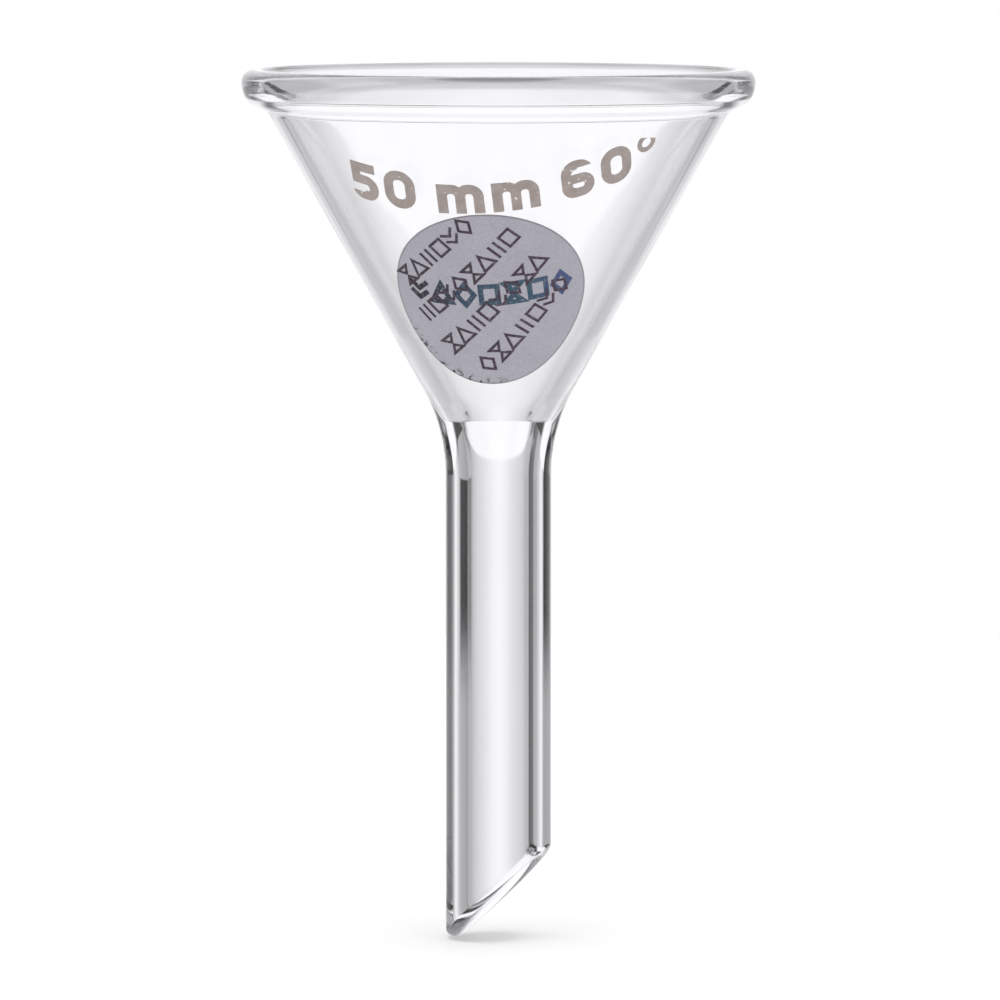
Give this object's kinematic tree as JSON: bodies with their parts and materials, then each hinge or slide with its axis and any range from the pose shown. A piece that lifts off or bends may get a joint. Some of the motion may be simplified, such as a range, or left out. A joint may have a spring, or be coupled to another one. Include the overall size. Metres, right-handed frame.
{
  "type": "filter funnel",
  "caption": "Small glass funnel: a beaded cone fused to a straight stem with a bevelled tip, for filtering and pouring.",
  "frame": {"origin": "on the funnel's axis, where the stem is fused to the neck of the cone", "axes": "+Z along the axis from the stem to the mouth of the cone, -Y towards the printed front, +X the side that the bevelled tip opens to, give or take 16 degrees"},
  "size_m": [0.05, 0.05, 0.085],
  "materials": {
    "glass": "clear borosilicate, fire-polished",
    "enamel": "fired warm grey print, slightly pinholed",
    "label_film": "lilac grey film with a fine printed pattern"
  },
  "bodies": {
    "root": {"cone": "glass", "stem": "glass", "size_mark": "enamel", "sticker": "label_film"}
  },
  "joints": []
}
